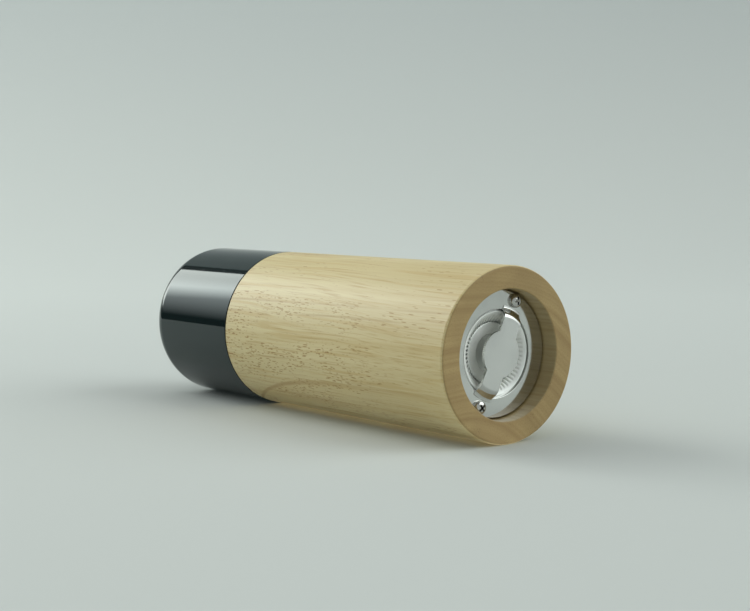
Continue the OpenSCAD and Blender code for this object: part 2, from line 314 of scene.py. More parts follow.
def paper():
    """Matt paper that is see-through from behind."""
    sheet = finish("paper", {"Roughness": 0.8, "Specular IOR Level": 0.15})
    where = sheet.place()
    flat = sheet.mix(sheet.noise(where, TONE_SIZE, 1.0), *PAPER_TONES)
    # Painted shade: darker and bluer with height up the backdrop.
    high = (sheet.dot(where, up) + BODY_R).above(0.0, SHADE_RISE)
    sheet.set({"Base Color": sheet.mix(high, flat, PAPER_SHADED_UP)})
    behind = sheet.node("ShaderNodeNewGeometry", output="Backfacing")
    shadow_ray = sheet.node("ShaderNodeLightPath", output="Is Shadow Ray")
    slit = shadow_ray * (1 - abs(sheet.dot(where, across)).above(SLIT_FROM, SLIT_TO))
    clear = sheet.node("ShaderNodeBsdfTransparent")
    shown = Wire(sheet, sheet.surface.outputs[0])
    one_sided = sheet.node("ShaderNodeMixShader", {}, {0: behind + slit, 1: shown, 2: clear})
    sheet.tree.links.new(one_sided.socket, sheet.tree.nodes["Material Output"].inputs["Surface"])


paper()


def stage_object(name, bm):
    """Makes a piece of the studio."""
    mesh = bpy.data.meshes.new(name)
    bm.to_mesh(mesh)
    bm.free()
    mesh.materials.append(MATERIALS["paper"])
    mesh.shade_smooth()
    thing = bpy.data.objects.new(name, mesh)
    bpy.context.collection.objects.link(thing)
    return thing


sweep = stage_object("paper_sweep", paper_sweep())
print("paper sweep of", len(sweep.data.polygons), "faces")

# %% [markdown]
# ## A floor for the standing mill
# Views round the upright mill get a round floor under its base. It takes no
# part in the lighting and shows only from above, so it changes nothing in the
# picture of the lying mill.

# %% Standing floor
STANDING_R = 2.5


def standing_floor():
    bm = bmesh.new()
    bmesh.ops.create_circle(bm, cap_ends=True, segments=64, radius=STANDING_R)
    bmesh.ops.translate(bm, verts=bm.verts, vec=(0, 0, -0.1 * MM))
    return bm


stand = stage_object("standing_floor", standing_floor())
stand.visible_diffuse = stand.visible_glossy = stand.visible_transmission = stand.visible_shadow = False
print("standing floor faces", tuple(round(c) for c in stand.data.polygons[0].normal))

# %% [markdown]
# ## Light
# A softbox stands high behind the cap, to the left. The cap mirrors it as one
# pale band with a crisp upper edge, and its lower edge fades away, so the
# light's strength fades across it. A wide overhead light fills the paper.
# Three weak ones under the paper light what the camera doesn't see: two of them
# the far side, and the third, through the slit, the line that lies on the paper.


# %% Softboxes
def softbox(name, place, size, strength, colour=(1, 1, 1), fade=None):
    """An area light aimed at the mill: size along the mill and across it in metres, strength in watts."""
    light = bpy.data.lights.new(name, "AREA")
    light.shape = "RECTANGLE"
    light.size, light.size_y = size
    light.energy = strength
    light.color = colour
    if fade:
        light.use_nodes = True
        glow = Graph(light.node_tree, "Emission")
        on_light = glow.node("ShaderNodeNewGeometry", output="Parametric")
        glow.set({"Strength": glow.part(on_light, "Y").ramp(*fade)})
    lamp = bpy.data.objects.new(name, light)
    facing = (place - middle).normalized()
    level = across.cross(facing).normalized()
    turn = Matrix((level, facing.cross(level), facing)).transposed().to_4x4()
    lamp.matrix_world = Matrix.Translation(place) @ turn
    bpy.context.collection.objects.link(lamp)
    lamp.visible_camera = False
    return lamp


def over(beyond, near, high):
    """A place round the mill: along it past the cap, towards the camera's side, and up."""
    return middle - outward * beyond - across * near + up * high


middle = Vector((0, 0, BODY_H))
KEY_H = 1.05
key_place = over(1.85 * KEY_H, 0.52 * KEY_H, KEY_H)
softbox("key", key_place, size=(1.7, 0.95), strength=22, colour=(0.95, 1.0, 0.95), fade=(0.0, 0.35))
softbox("overhead", over(0.45, 0.1, 1.7), size=(1.8, 2.0), strength=7.8)
softbox("back_fill", over(0.3, -1.2, -0.7), size=(1.4, 1.4), strength=12)
softbox("under_fill", over(-0.9, -0.6, -1.1), size=(1.2, 1.2), strength=5)
softbox("slit_fill", over(0.0, 0.0, -0.7), size=(0.5, 0.3), strength=1.1)

# %% [markdown]
# ## Room
# A mirror-like cap and plate show the room itself. It is dark, with a narrow
# glow on the left that grows brighter with height towards the softbox. The wall
# on the right is a little paler and has a bright panel high up, whose mirror
# image is the white stripe on the strap's shoulder. The wall behind the camera
# is weakly lit. A camera that sees the room directly gets a plain pale wall.


# %% Room light by direction
ROOM_COLOUR = (0.93, 1.0, 0.99, 1)
DARK_ROOM = 0.07
SEEN_ROOM = 0.55
LEFT_GLOW = 2.6
RIGHT_WALL = 0.25
RIGHT_PANEL = 2.0
NEAR_WALL = 0.42
CEILING = 0.15


def room():
    world = bpy.data.worlds.new("room")
    world.use_nodes = True
    bpy.context.scene.world = world
    air = Graph(world.node_tree, "Background")
    towards = air.node("ShaderNodeTexCoord", output="Generated")
    height = air.dot(towards, up)
    rightward = air.dot(towards, right)
    slab = (-outward * 0.63 + across * 0.78).normalized()
    beside_slab = abs(air.dot(towards, slab) - 0.08).above(0.15, 0.50)
    left_side = (0 - rightward).above(0.60, 0.80) * (1 - beside_slab)
    panel = (outward * 0.60 + across * 0.60 + up * 0.53).normalized()
    parts = [
        LEFT_GLOW * height.ramp(0.055, 0.42) * left_side,
        RIGHT_WALL * rightward.above(0.3, 0.8),
        RIGHT_PANEL * air.dot(towards, panel).above(0.81, 0.95),
        NEAR_WALL * (0 - air.dot(towards, away)).above(0.4, 0.9),
        CEILING * height.above(0.3, 0.9),
    ]
    seen = air.node("ShaderNodeLightPath", output="Is Camera Ray")
    air.set({"Color": ROOM_COLOUR, "Strength": sum(parts, DARK_ROOM) * (1 - seen) + SEEN_ROOM * seen})


room()
print("room lit:", bpy.context.scene.world.name)

# %% [markdown]
# ## Shapes from a lathe and a press
# Most of the mill is turned on a lathe. A piece is an outline of corners that
# is spun round the axis, and each corner that a tool or sandpaper has softened
# is bevelled. Holes and recesses are cut out with closed shapes, as a drill
# would. Weighted normals keep the flat faces looking flat beside the rounded
# edges.


# %% Spin an outline and soften its corners
FEW_STEPS = 4
MANY_STEPS = 24


def ring_edges(bm, radius, height):
    """The edges of a spun shape that lie on one circle."""
    close = 2e-7

    def on_circle(vert):
        return abs(vert.co.z - height) < close and abs(vert.co.xy.length - radius) < close

    return [e for e in bm.edges if on_circle(e.verts[0]) and on_circle(e.verts[1])]


def round_edges(bm, edges, soft, segments):
    """Bevels edges by soft mm."""
    bmesh.ops.bevel(
        bm, geom=edges, offset=soft * MM, segments=segments, profile=0.5, affect="EDGES", material=-1
    )


def turned(corners, steps=192):
    """Spins corners of (radius, height, rounding in mm) round Z and rounds them.

    A large rounding gets more steps than a small one.
    """
    bm = bmesh.new()
    verts = [bm.verts.new((radius, 0, height)) for radius, height, soft in corners]
    pairs = list(zip(verts, verts[1:] + verts[:1]))
    edges = [bm.edges.new(pair) for pair in pairs if pair[0].co.x > 0 or pair[1].co.x > 0]
    bmesh.ops.spin(
        bm, geom=verts + edges, cent=(0, 0, 0), axis=(0, 0, 1), angle=2 * math.pi, steps=steps,
        use_merge=True
    )
    bmesh.ops.remove_doubles(bm, verts=bm.verts, dist=1e-7)
    bmesh.ops.recalc_face_normals(bm, faces=bm.faces)
    for radius, height, soft in corners:
        if soft:
            round_edges(bm, ring_edges(bm, radius, height), soft, FEW_STEPS if soft < 2 else MANY_STEPS)
    return bm


def solid_object(bm):
    """A nameless object, for a cut."""
    mesh = bpy.data.meshes.new("loose")
    bm.to_mesh(mesh)
    bm.free()
    thing = bpy.data.objects.new("loose", mesh)
    bpy.context.collection.objects.link(thing)
    return thing


def cut(bm, tools):
    """Cuts closed shapes out of a closed shape."""
    block = solid_object(bm)
    cutters = [solid_object(tool) for tool in tools]
    for cutter in cutters:
        step = block.modifiers.new("cut", "BOOLEAN")
        step.operation = "DIFFERENCE"
        step.solver = "EXACT"
        step.object = cutter
    result = bmesh.new()
    result.from_object(block, bpy.context.evaluated_depsgraph_get())
    for thing in [block] + cutters:
        bpy.data.meshes.remove(thing.data)
    return result


def drill(radius, depth, place, axis=(0, 0, 1), sides=32):
    """A round bar to cut with, from its place along an axis."""
    bm = bmesh.new()
    bmesh.ops.create_cone(
        bm, cap_ends=True, segments=sides, radius1=radius, radius2=radius, depth=depth
    )
    bmesh.ops.translate(bm, verts=bm.verts, vec=(0, 0, depth / 2))
    turn = Vector((0, 0, 1)).rotation_difference(Vector(axis)).to_matrix()
    bmesh.ops.rotate(bm, verts=bm.verts, cent=(0, 0, 0), matrix=turn)
    bmesh.ops.translate(bm, verts=bm.verts, vec=place)
    return bm


def bar(size, place):
    """A box with its middle at a place."""
    bm = bmesh.new()
    bmesh.ops.create_cube(bm, size=1)
    bmesh.ops.scale(bm, verts=bm.verts, vec=size)
    bmesh.ops.translate(bm, verts=bm.verts, vec=place)
    return bm


def joined(shapes):
    """Several shapes as one bmesh."""
    whole = bmesh.new()
    for shape in shapes:
        mesh = bpy.data.meshes.new("loose")
        shape.to_mesh(mesh)
        shape.free()
        whole.from_mesh(mesh)
        bpy.data.meshes.remove(mesh)
    return whole


def piece(name, bm, node, crease=32, even=True):
    """Makes a piece of a bmesh that stands for a CAD node, rides on its body and has its finish."""
    mesh = bpy.data.meshes.new(name)
    bm.to_mesh(mesh)
    bm.free()
    slot = SLOTS[node]
    mesh.materials.append(MATERIALS[slot])
    mesh.shade_smooth()
    mesh.set_sharp_from_angle(angle=math.radians(crease))
    made = bpy.data.objects.new(name, mesh)
    bpy.context.collection.objects.link(made)
    if even:
        made.modifiers.new("even_shading", "WEIGHTED_NORMAL").keep_sharp = True
    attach(made, BODIES[node])
    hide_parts(node)
    print(f"{name}: {len(mesh.polygons)} faces")
    return made


SLOTS = {part["node"]: part["material_slot"] for part in frame["record"]["subparts"]}
BODY_NODES = frame["record"]["behaviour"]["bodies"]
BODIES = {node: body for body, nodes in BODY_NODES.items() for node in nodes}
print("shape helpers ready for", len(SLOTS), "parts")

# %% [markdown]
# ## Rubberwood
# The body's wood is pale, with straight grain along the tube. Its vessels are
# scattered pores: short brown dashes where the side cuts them along the grain,
# and small dots where it cuts them flat. Growth rings lie round a pith outside
# the tube, and one of them leaves the side in an arch below the seam. The end
# grain soaks up more oil and is browner. The wall and floor of the recess are
# painted darker still, as painted shade, and the side is painted darker and
# browner towards the base, as painted shade where the highlight fades.

# %% Tones of the wood
WOOD = {
    "pale": (0.83, 0.715, 0.42, 1),
    "ring": (0.72, 0.58, 0.295, 1),
    "cloud": (0.70, 0.58, 0.295, 1),
    "streak": (0.66, 0.49, 0.21, 1),
    "thread": (0.54, 0.36, 0.13, 1),
    "fibre": (0.60, 0.44, 0.19, 1),
    "ring line": (0.46, 0.29, 0.11, 1),
    "arch line": (0.44, 0.26, 0.09, 1),
    "inside arch": (0.62, 0.45, 0.19, 1),
    # Painted shade for the side near the base, where the highlight fades.
    "base shade": (0.55, 0.41, 0.18, 1),
    "pore": (0.42, 0.23, 0.06, 1),
    # Painted shade for the wall and floor of the recess.
    "recess_shade": (0.20, 0.13, 0.05, 1),
    "end pale": (0.42, 0.30, 0.125, 1),
    "end ring": (0.30, 0.195, 0.073, 1),
    "end cloud": (0.27, 0.175, 0.066, 1),
    "end fleck": (0.22, 0.14, 0.05, 1),
    "end pore": (0.14, 0.08, 0.03, 1),
}
TO_PITH = (0.052, -0.011, 0)
RING_LEAN = 0.035
ARCH_RISE = 48
ARCH_SIDE = 0.0186
ARCH_REACH = 0.0188
# How far up from the base the painted shade on the side reaches.
BASE_SHADE_REACH = 0.08
print(len(WOOD), "tones of wood")


# %% Grain, rings and pores
def swayed(wood, straight):
    """The place in the wood, pushed aside a little so that straight grain sways."""
    wide = wood.noise(straight, (60, 60, 90), 1.0)
    narrow = wood.noise(wood.vector("ADD", straight, (0.3, 0.1, 0)), (16, 16, 60), 1.0)
    shift = 0.010 * wide + 0.0012 * narrow
    aside = wood.node("ShaderNodeCombineXYZ", {}, {0: shift, 1: 0.7 * shift, 2: 0.0})
    return wood.vector("ADD", straight, aside)


def growth_rings(wood, grain):
    """Broad bands round the pith, and thin broken lines between them."""
    from_pith = wood.vector("MULTIPLY_ADD", grain, (1, 1, 0), TO_PITH)
    distance = wood.vector("LENGTH", from_pith, output="Value") + RING_LEAN * wood.part(grain, "Z")
    rings = wood.node("ShaderNodeCombineXYZ", {}, {0: distance, 1: 0.0, 2: 0.0})
    bands = wood.noise(rings, 3.2, 3.0, 0.6).above(0.3, 0.7)
    lines = 1 - abs(wood.noise(rings, 7.5, 0.0) - 0.5).above(0.0, 0.035)
    return bands, lines * wood.noise(grain, (8, 8, 70), 1.0).above(0.48, 0.62)


def pores(wood, straight, grain):
    """Dashes on their own, and the dashes and dots that the side shows, denser in patches."""
    off_base = wood.part(straight, "Z").above(0.02, 0.06)
    flat_cut = wood.dot(straight, (-22, -26, 0)).above(0.45, 0.95) * off_base
    patch = (wood.noise(grain, (9, 9, 30), 1.0) + 0.16 * flat_cut).above(0.50, 0.68)
    dashes = 1 - (wood.cells(grain, (0.80, 0.80, 6.0)) - 0.11 * patch).above(0.07, 0.17)
    dots = 1 - (wood.cells(grain, (0.75, 0.75, 2.4)) - 0.10 * patch).above(0.10, 0.22)
    return dashes, dashes * (0.35 + 0.45 * patch) + dots * flat_cut * (0.25 + 0.5 * patch)


def arch_layers(wood, straight, grain):
    """The line and the inside of the growth ring that arches below the seam."""
    drop = wood.part(straight, "Z") - BODY_H
    swing = wood.node("ShaderNodeMath", {"operation": "EXPONENT"}, {0: ARCH_RISE * drop})
    wobble = 0.0006 * wood.noise(grain, (3, 3, 12), 1.0)
    inside = wood.part(straight, "Y") + ARCH_SIDE - ARCH_REACH * swing + wobble
    on_side = 1 - wood.part(straight, "X").above(-0.022, -0.016)
    shown = on_side * (0.3 + 0.7 * swing.above(0.02, 0.2))
    line = 1 - abs(inside - 0.3 * MM).above(0.2 * MM, 1.2 * MM)
    return [
        (line * shown * 0.65, "arch line"),
        (inside.above(-3 * MM, 3 * MM) * shown * 0.3, "inside arch"),
    ]


def stained(wood, colour, layers):
    """A colour with layers of (amount, tone) over it."""
    for amount, tone in layers:
        colour = wood.mix(amount, colour, WOOD[tone])
    return colour


# %% Rubberwood
def rubberwood():
    wood = finish("rubberwood", {"Specular IOR Level": 0.5})
    straight = wood.place()
    grain = swayed(wood, straight)
    bands, ring_line = growth_rings(wood, grain)
    dashes, speckle = pores(wood, straight, grain)
    cloud = wood.noise(grain, (16, 16, 150), 1.0)
    streaks = wood.noise(grain, (1.6, 1.6, 60), 2.0)
    threads = wood.noise(grain, (0.55, 0.55, 28), 1.0)
    fibre = wood.noise(grain, (0.30, 0.30, 9), 2.0)
    flecks = wood.noise(grain, 0.5, 3.0, 0.7)
    # Painted shade: the wood inside the recess is darkened, a little streaky.
    recess_shade = 1 - wood.from_axis(straight).above(RECESS_R + 0.1 * MM, RECESS_R + 0.9 * MM)
    # Painted shade: the side gets darker and browner towards the base.
    base_shade = 1 - wood.part(straight, "Z").above(0, BASE_SHADE_REACH)
    side = stained(wood, wood.mix(bands, WOOD["pale"], WOOD["ring"]), [
        (cloud.above(0.35, 0.65) * 0.5, "cloud"),
        (streaks.above(0.50, 0.68) * 0.7, "streak"),
        (threads.above(0.52, 0.75) * 0.6, "thread"),
        (fibre.above(0.5, 0.8) * 0.2, "fibre"),
        (ring_line * 0.45, "ring line"),
        *arch_layers(wood, straight, grain),
        (base_shade * 0.30, "base shade"),
        (speckle, "pore"),
        (recess_shade * (0.45 + 0.4 * streaks), "recess_shade"),
    ])
    end = stained(wood, wood.mix(bands, WOOD["end pale"], WOOD["end ring"]), [
        (cloud.above(0.4, 0.6) * 0.35, "end cloud"),
        (flecks.above(0.45, 0.7) * 0.4, "end fleck"),
        (dashes * 0.35, "end pore"),
    ])
    facing = wood.part(wood.node("ShaderNodeTexCoord", output="Normal"), "Z")
    across_grain = abs(facing).above(0.60, 0.85)
    wood.set({
        "Base Color": wood.mix(across_grain, side, end),
        "Roughness": 0.36 + 0.12 * fibre + 0.22 * across_grain,
        "Normal": wood.bump(fibre * 0.4 - dashes, 0.02 * MM),
    })
    print("rubberwood:", len(wood.tree.nodes), "shader nodes")


rubberwood()

# %% [markdown]
# ## Steels
# The parts of the mechanism are one metal in several finishes. Polished steel
# is nearly a mirror, with faint wipe marks that only change its roughness, and
# the strap's outermost face is satin. Pressed steel has a satin grain, turned
# steel has fine rings round the axis, and sintered steel is a fine matt grain.
# The dish of the sintered cone is painted dark brown as painted shade, and is rougher there.


# %% Steel finishes
SATIN = 0.16
# Painted shade: the dark brown of the cone's dish.
DISH_SHADE_BROWN = (0.10, 0.088, 0.07, 1)
NOWHERE = -1


def dulled(colour, share):
    """A colour and a darker shade of it, as the two ends of a mix."""
    return (*colour, 1), (*(share * c for c in colour), 1)


def steel(name, colour, rough, spread, grain, depth, metallic=1.0, satin_below=NOWHERE):
    """A metal whose roughness wanders by spread over a grain of that size in mm.

    Its bumps are depth mm deep, and it is satin below a height.
    """
    metal = finish(name, {"Metallic": metallic})
    where = metal.place()
    fine = metal.noise(where, grain, 3.0, 0.6)
    wipe = metal.noise(where, 14, 3.0)
    satin = 1 - metal.part(where, "Z").above(satin_below, satin_below + 0.05 * MM)
    metal.set({
        "Base Color": metal.mix(wipe.above(0.35, 0.75), *dulled(colour, 0.86)),
        "Roughness": rough + spread * fine + 0.5 * spread * wipe + SATIN * satin,
        "Normal": metal.bump(fine, depth * MM),
    })


def dish_shaded_steel(name, colour, rough, metallic, shade_r):
    """Matt sintered steel that is painted dark brown, as painted shade, and rougher inside the given
    radius.
    """
    metal = finish(name, {"Metallic": metallic})
    where = metal.place()
    fine = metal.noise(where, 0.22, 3.0, 0.6)
    radius = metal.from_axis(where)
    # Painted shade: the dish inside the given radius is darkened, mottled.
    dish_shade = (1 - radius.above(shade_r - 0.6 * MM, shade_r)) * (0.55 + 0.35 * metal.noise(where, 2.2, 2.0))
    wipe = metal.noise(where, 6, 3.0)
    clean = metal.mix(wipe.above(0.35, 0.75), *dulled(colour, 0.88))
    metal.set({
        "Base Color": metal.mix(dish_shade, clean, DISH_SHADE_BROWN),
        "Roughness": rough + 0.12 * fine + 0.2 * dish_shade,
        "Normal": metal.bump(fine, 0.006 * MM),
    })


def turned_steel(name, colour, rough, depth):
    """A metal with turning marks: fine rings round the axis."""
    metal = finish(name, {"Metallic": 1.0})
    where = metal.place()
    radius = metal.from_axis(where)
    lathe = metal.node("ShaderNodeCombineXYZ", {}, {0: radius, 1: 0.0, 2: metal.part(where, "Z")})
    marks = metal.noise(lathe, (0.12, 0.12, 0.12), 3.0, 0.7)
    cloud = metal.noise(where, 5, 2.0)
    metal.set({
        "Base Color": metal.mix(marks * 0.6 + cloud * 0.3, *dulled(colour, 0.85)),
        "Roughness": rough + 0.12 * marks,
        "Normal": metal.bump(marks, depth * MM),
    })


POLISHED = (0.66, 0.665, 0.64)
NICKEL = (0.58, 0.57, 0.54)
PRESSED = (0.66, 0.67, 0.65)
SINTERED = (0.92, 0.935, 0.90)
DRAWN = (0.60, 0.60, 0.58)
TURNED = (0.72, 0.73, 0.72)
ALUMINIUM = (0.78, 0.79, 0.79)
BRASS = (0.72, 0.52, 0.22)
strap_low, strap_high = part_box("outlet_strap")
strap_face = strap_low.z + 0.02 * MM
steel("mirror_steel", POLISHED, 0.045, 0.07, 1.1, 0.0006, satin_below=strap_face)
steel("screw_steel", NICKEL, 0.05, 0.08, 0.5, 0.001)
steel("pressed_steel", PRESSED, 0.24, 0.12, (0.25, 2.5, 0.25), 0.003)
steel("ring_steel", SINTERED, 0.42, 0.12, 0.22, 0.006, metallic=0.4)
# The cone's dish gets painted shade.
dish_shaded_steel("cone_steel", SINTERED, 0.40, metallic=0.4, shade_r=6.5 * MM)
steel("spring_steel", DRAWN, 0.22, 0.10, (0.2, 0.2, 1.5), 0.003)
turned_steel("nut_steel", TURNED, 0.20, 0.004)
steel("shaft_aluminium", ALUMINIUM, 0.26, 0.14, (0.15, 0.15, 8), 0.003)
turned_steel("brass", BRASS, 0.22, 0.004)
print("finishes so far:", sorted(MATERIALS))

# %% [markdown]
# ## Lacquer, plastics and rubber
# Black gloss has almost no colour of its own: it is read by what it mirrors,
# so its roughness is very low, with the faint unevenness of sprayed lacquer.
# The moulded parts inside are matt, and their surface has the fine texture of
# the mould.


# %% Lacquer and plastics
LACQUER = (0.002, 0.0095, 0.0095, 1)
COOL_SHEEN = (0.88, 1, 1, 1)
DUST_SPECK = (0.05, 0.05, 0.05, 1)


def black_gloss():
    gloss = finish("black_gloss", {"Base Color": LACQUER, "IOR": 1.5, "Specular Tint": COOL_SHEEN})
    where = gloss.place()
    film = gloss.noise(where, 3.2, 2.0)
    wipe = gloss.noise(where, (16, 16, 60), 3.0)
    specks = gloss.noise(where, 0.35, 0.0).above(0.80, 0.86)
    gloss.set({
        "Base Color": gloss.mix(specks * 0.3, LACQUER, DUST_SPECK),
        "Roughness": 0.035 + 0.05 * wipe + 0.1 * specks,
        "Normal": gloss.bump(film, 0.003 * MM),
    })


def moulded(name, light, dark, rough, grain=0.35):
    """Plastic or rubber between two tones, with the mould's fine texture."""
    plastic = finish(name, {"IOR": 1.46})
    where = plastic.place()
    texture = plastic.noise(where, grain, 2.0)
    cloud = plastic.noise(where, 9, 2.0)
    plastic.set({
        "Base Color": plastic.mix(cloud.above(0.3, 0.7), (*light, 1), (*dark, 1)),
        "Roughness": rough + 0.15 * texture,
        "Normal": plastic.bump(texture, 0.01 * MM),
    })


black_gloss()
moulded("black_core", (0.030, 0.030, 0.033), (0.022, 0.022, 0.024), 0.42)
moulded("black_washer", (0.022, 0.022, 0.022), (0.015, 0.015, 0.015), 0.5)
moulded("black_rubber", (0.018, 0.018, 0.018), (0.012, 0.012, 0.012), 0.62)
moulded("nylon", (0.83, 0.82, 0.76), (0.78, 0.76, 0.69), 0.36)


def dress(node):
    """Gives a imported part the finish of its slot."""
    for slot in frame["nodes"][node].material_slots:
        slot.material = MATERIALS[SLOTS[node]]


for name in SLOTS:
    dress(name)
print("dressed", len(SLOTS), "parts in", len(set(SLOTS.values())), "finishes")

# %% [markdown]
# ## Wooden body
# The tube has a shallow recess for the mechanism, a chamber for the
# peppercorns and a wider bore for the collar. A narrow groove in the floor of
# the recess runs behind the plate's rim and shows as a dark line round it. The
# edges of the base are sanded round, and those at the seam are nearly sharp.
# The bores for the plate's screws and the collar's pins are drilled afterwards.

# %% Turn and drill the body
collar_low, collar_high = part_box("neck_collar")
screws_low, screws_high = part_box("base_screws")
pins_low, pins_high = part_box("collar_pins")
CHAMBER_R = 16 * MM
SCREW_HEAD_R = 2.35 * MM
SCREW_SHANK_R = 1.2 * MM
SCREW_X = screws_high.x - SCREW_HEAD_R
PIN_R = (pins_high.z - pins_low.z) / 2
FIT = 0.05 * MM
RELIEF_R = PLATE_R - 0.5 * MM
RELIEF_DEPTH = 1.5 * MM


def body_outline():
    collar_r = collar_high.x + FIT
    collar_z = collar_low.z - FIT
    step_z = plate_high.z
    return [
        (RECESS_R, 0, 0.5), (BODY_R, 0, 1.0), (BODY_R, BODY_H, 0.15), (collar_r, BODY_H, 0.3),
        (collar_r, collar_z, 0), (CHAMBER_R, collar_z, 0.2), (CHAMBER_R, step_z, 0.2),
        (RELIEF_R, step_z, 0), (RELIEF_R, step_z + RELIEF_DEPTH, 0), (RECESS_R, step_z + RELIEF_DEPTH, 0),
    ]


def body_bores():
    start_z = plate_high.z - MM
    pin_z = (pins_low.z + pins_high.z) / 2
    bores = []
    for side in (-1, 1):
        bores.append(drill(SCREW_SHANK_R + FIT, screws_high.z - start_z, (side * SCREW_X, 0, start_z)))
    for side in (-1, 1):
        place = (0, side * CHAMBER_R, pin_z)
        bores.append(drill(PIN_R + FIT, pins_high.y - CHAMBER_R, place, (0, side, 0), sides=24))
    return bores


piece("turned_body", cut(turned(body_outline()), body_bores()), "wood_body")

# %% [markdown]
# ## Base plate and its screws
# The plate is a polished ring with two holes. Its screws have a domed pan head
# with a cross recess, which is cut with two crossed bars. The bars are wider at
# the top, so the slots taper towards their bottom as in a pressed recess.

# %% Plate and pan-head screws
PLATE_HOLE_R = 14.45 * MM
PLATE_RIM_R = PLATE_R - 0.15 * MM
SCREW_TURNS = {-1: 0.5, 1: 1.1}


def plate_shape():
    outline = [
        (PLATE_HOLE_R, PLATE_Z, 0.2), (PLATE_RIM_R, PLATE_Z, 0.15),
        (PLATE_RIM_R, plate_high.z, 0), (PLATE_HOLE_R, plate_high.z, 0),
    ]
    hole_r = SCREW_SHANK_R + 2 * FIT
    holes = [drill(hole_r, 3 * MM, (side * SCREW_X, 0, PLATE_Z - MM)) for side in SCREW_TURNS]
    return cut(turned(outline), holes)


def wedge_bar(length, width, depth, top, turn):
    """A bar that narrows upwards from its lower face, to cut one slot of a cross recess."""
    bm = bar((length, width, depth), (0, 0, top + depth / 2))
    upper = [v for v in bm.verts if v.co.z > top + depth / 2]
    bmesh.ops.scale(bm, verts=upper, vec=(0.55, 0.5, 1))
    bmesh.ops.rotate(bm, verts=bm.verts, cent=(0, 0, 0), matrix=Matrix.Rotation(turn, 3, "Z"))
    return bm


def pan_screw(head_r, head_h, shank_r, shank_l, turn):
    """A screw whose head hangs below z = 0 and whose cross is turned by an angle."""
    outline = [
        (0, -head_h, 0), (head_r * 0.52, -head_h, 0.3), (head_r * 0.88, -head_h * 0.76, 0.4),
        (head_r, -head_h * 0.35, 0.3), (head_r, 0, 0.1),
        (shank_r, 0, 0), (shank_r, shank_l - shank_r, 0.1), (0, shank_l, 0),
    ]
    top = -head_h - 0.01 * MM
    slots = [wedge_bar(head_r * 1.25, head_r * 0.34, head_h * 0.8, top, q) for q in (0, math.pi / 2)]
    bm = cut(turned(outline, 64), slots)
    bmesh.ops.rotate(bm, verts=bm.verts, cent=(0, 0, 0), matrix=Matrix.Rotation(turn, 3, "Z"))
    return bm


def screws_in_place():
    head_h = PLATE_Z - screws_low.z
    made = []
    for side, turn in SCREW_TURNS.items():
        bm = pan_screw(SCREW_HEAD_R, head_h, SCREW_SHANK_R, screws_high.z - PLATE_Z, turn)
        bmesh.ops.translate(bm, verts=bm.verts, vec=(side * SCREW_X, 0, PLATE_Z))
        made.append(bm)
    return joined(made)


piece("polished_plate", plate_shape(), "base_plate")
piece("plate_screws", screws_in_place(), "base_screws", crease=28)

# %% [markdown]
# ## Outlet strap
# The strap is lanced and pressed out of sheet, so its legs bend down along
# circles round the axis. A whole hat of sheet is turned first, with rounded
# shoulders and feet. Then everything beside the disc and its two arms is cut
# away, and the cut edges are rounded.

# %% Press the strap
SHEET = 1 * MM
STRAP_HALF_W = 3.85 * MM
STRAP_SHOULDER_R = 12.8 * MM
STRAP_FOOT_R = strap_high.x
STRAP_DISC_R = strap_high.y
BRIM_R = STRAP_FOOT_R + 0.55 * MM
BRIM_SHEET = 0.3 * MM


def hat_shape():
    low, top = strap_low.z, PLATE_Z
    outline = [
        (0, low, 0), (STRAP_SHOULDER_R + 0.1 * MM, low, 1.0),
        (STRAP_FOOT_R - 0.4 * MM, top - BRIM_SHEET, 0.5), (BRIM_R, top - BRIM_SHEET, 0.1),
        (BRIM_R, top, 0), (STRAP_FOOT_R - 1.3 * MM, top, 0.3),
        (STRAP_SHOULDER_R - 0.5 * MM, low + SHEET, 0.4), (0, low + SHEET, 0),
    ]
    return turned(outline, 360)


def beside_arm(side):
    """Half a ring that takes away what is beside the strap's arms."""
    far = 2 * STRAP_SHOULDER_R
    deep = 3 * MM
    ring = turned([
        (STRAP_DISC_R, strap_low.z - deep, 0), (far, strap_low.z - deep, 0),
        (far, PLATE_Z + deep, 0), (STRAP_DISC_R, PLATE_Z + deep, 0),
    ], 180)
    everything = ring.verts[:] + ring.edges[:] + ring.faces[:]
    arm_edge = (0, side * STRAP_HALF_W, 0)
    bmesh.ops.bisect_plane(
        ring, geom=everything, plane_co=arm_edge, plane_no=(0, -side, 0), clear_outer=True
    )
    bmesh.ops.holes_fill(ring, edges=ring.edges)
    bmesh.ops.recalc_face_normals(ring, faces=ring.faces)
    return ring


strap_shape = cut(hat_shape(), [beside_arm(-1), beside_arm(1)])
strap = piece("pressed_strap", strap_shape, "outlet_strap", crease=40, even=False)
edge = strap.modifiers.new("edges", "BEVEL")
edge.width = 0.12 * MM
edge.segments = 2
edge.limit_method = "ANGLE"
edge.angle_limit = math.radians(60)
strap.modifiers.new("even_shading", "WEIGHTED_NORMAL").keep_sharp = True

# %% [markdown]
# ## Grinding ring and cone
# The ring's mouth is a funnel that narrows to a row of teeth. Each groove
# between two teeth starts shallow on the funnel and is deepest at the grinding
# edge. The cone sits inside with a fine gap, and its lower face is dished. Both
# are spun with several steps to each tooth, and then their points are moved in
# or out by a smooth wave.

# %% Teeth
TEETH = 54
ring_low, ring_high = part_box("grinding_ring")
cone_low, cone_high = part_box("grinding_cone")
RING_EDGE_R = 10.6 * MM
RIM_GAP = 0.28 * MM
RING_GROOVE = 0.9 * MM
CONE_GROOVE = 0.45 * MM
FUNNEL_SHARE = 0.7
DISH_R = 5.9 * MM
LAND_R = 6.2 * MM
BACK_R = 5.4 * MM
SOCKET = 6.1 * MM
EDGE_Z = ring_low.z + 2.2 * MM
WAIST_Z = EDGE_Z + 4.6 * MM


